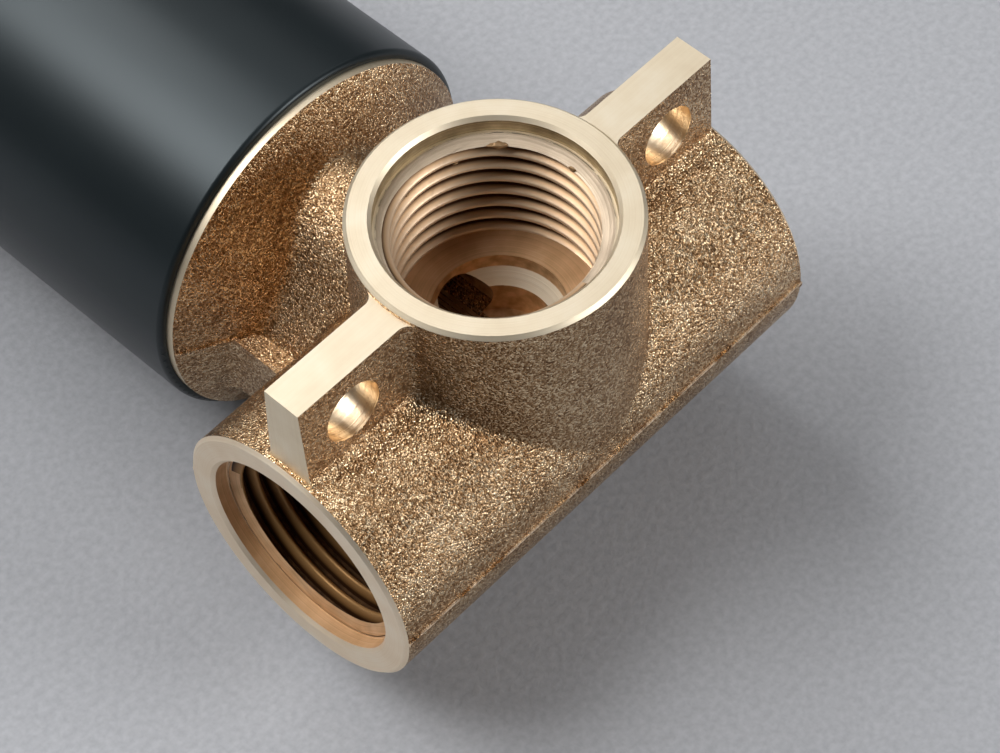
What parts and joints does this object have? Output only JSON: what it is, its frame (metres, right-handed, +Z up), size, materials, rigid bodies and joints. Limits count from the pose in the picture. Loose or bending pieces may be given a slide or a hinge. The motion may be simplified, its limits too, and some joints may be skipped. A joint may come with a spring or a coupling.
{
  "type": "concealed shower valve",
  "caption": "Cast brass concealed shower mixer body with two inlets, outlet boss and fixing lugs, a ceramic cartridge in a black cover sleeve, and a turning knob.",
  "frame": {"origin": "where the line of the two inlets crosses the axis of the outlet boss (the setting-out point of the pipes)", "axes": "+Z up along the outlet boss, X along the inlet line with hot at -X and cold at +X, -Y to the room along the sleeve and handle"},
  "size_m": [0.054, 0.1185, 0.0444],
  "materials": {
    "cast_brass": "sand-cast skin with machined rims, bores and lug faces",
    "machined_brass": "fine turned",
    "black_coat": "satin black coating",
    "black_plastic": "moulded, matt",
    "rubber": "plain moulded rubber",
    "cartridge_plastic": "moulded, fine matt",
    "stop_plastic": "moulded, fine matt",
    "disc_ceramic": "lapped",
    "steel": "plain"
  },
  "bodies": {
    "valve": {"valve_body": "cast_brass", "cover_sleeve": "black_coat", "rear_sleeve_seal": "rubber", "front_sleeve_seal": "rubber", "sleeve_cap_ring": "black_plastic", "hot_port_seal": "rubber", "cold_port_seal": "rubber", "outlet_port_seal": "rubber", "cartridge_base": "cartridge_plastic", "disc_gasket": "rubber", "fixed_disc": "disc_ceramic", "thrust_washer": "cartridge_plastic", "cartridge_shell": "cartridge_plastic", "shell_seal": "rubber", "ring_nut": "machined_brass", "stop_ring": "stop_plastic"},
    "handle": {"handle_knob": "black_coat", "grub_screw": "steel", "screw_plug": "black_plastic", "spline_adapter": "cartridge_plastic", "stem": "machined_brass", "inner_stem_seal": "rubber", "outer_stem_seal": "rubber", "stem_clip": "steel", "disc_driver": "cartridge_plastic", "moving_disc": "disc_ceramic"}
  },
  "joints": [
    {"name": "handle_turn", "type": "hinge", "parent": "valve", "child": "handle", "pos_m": [0, -0.0926, 0], "axis": [0, 1, 0], "range_deg": [0, 175]}
  ]
}
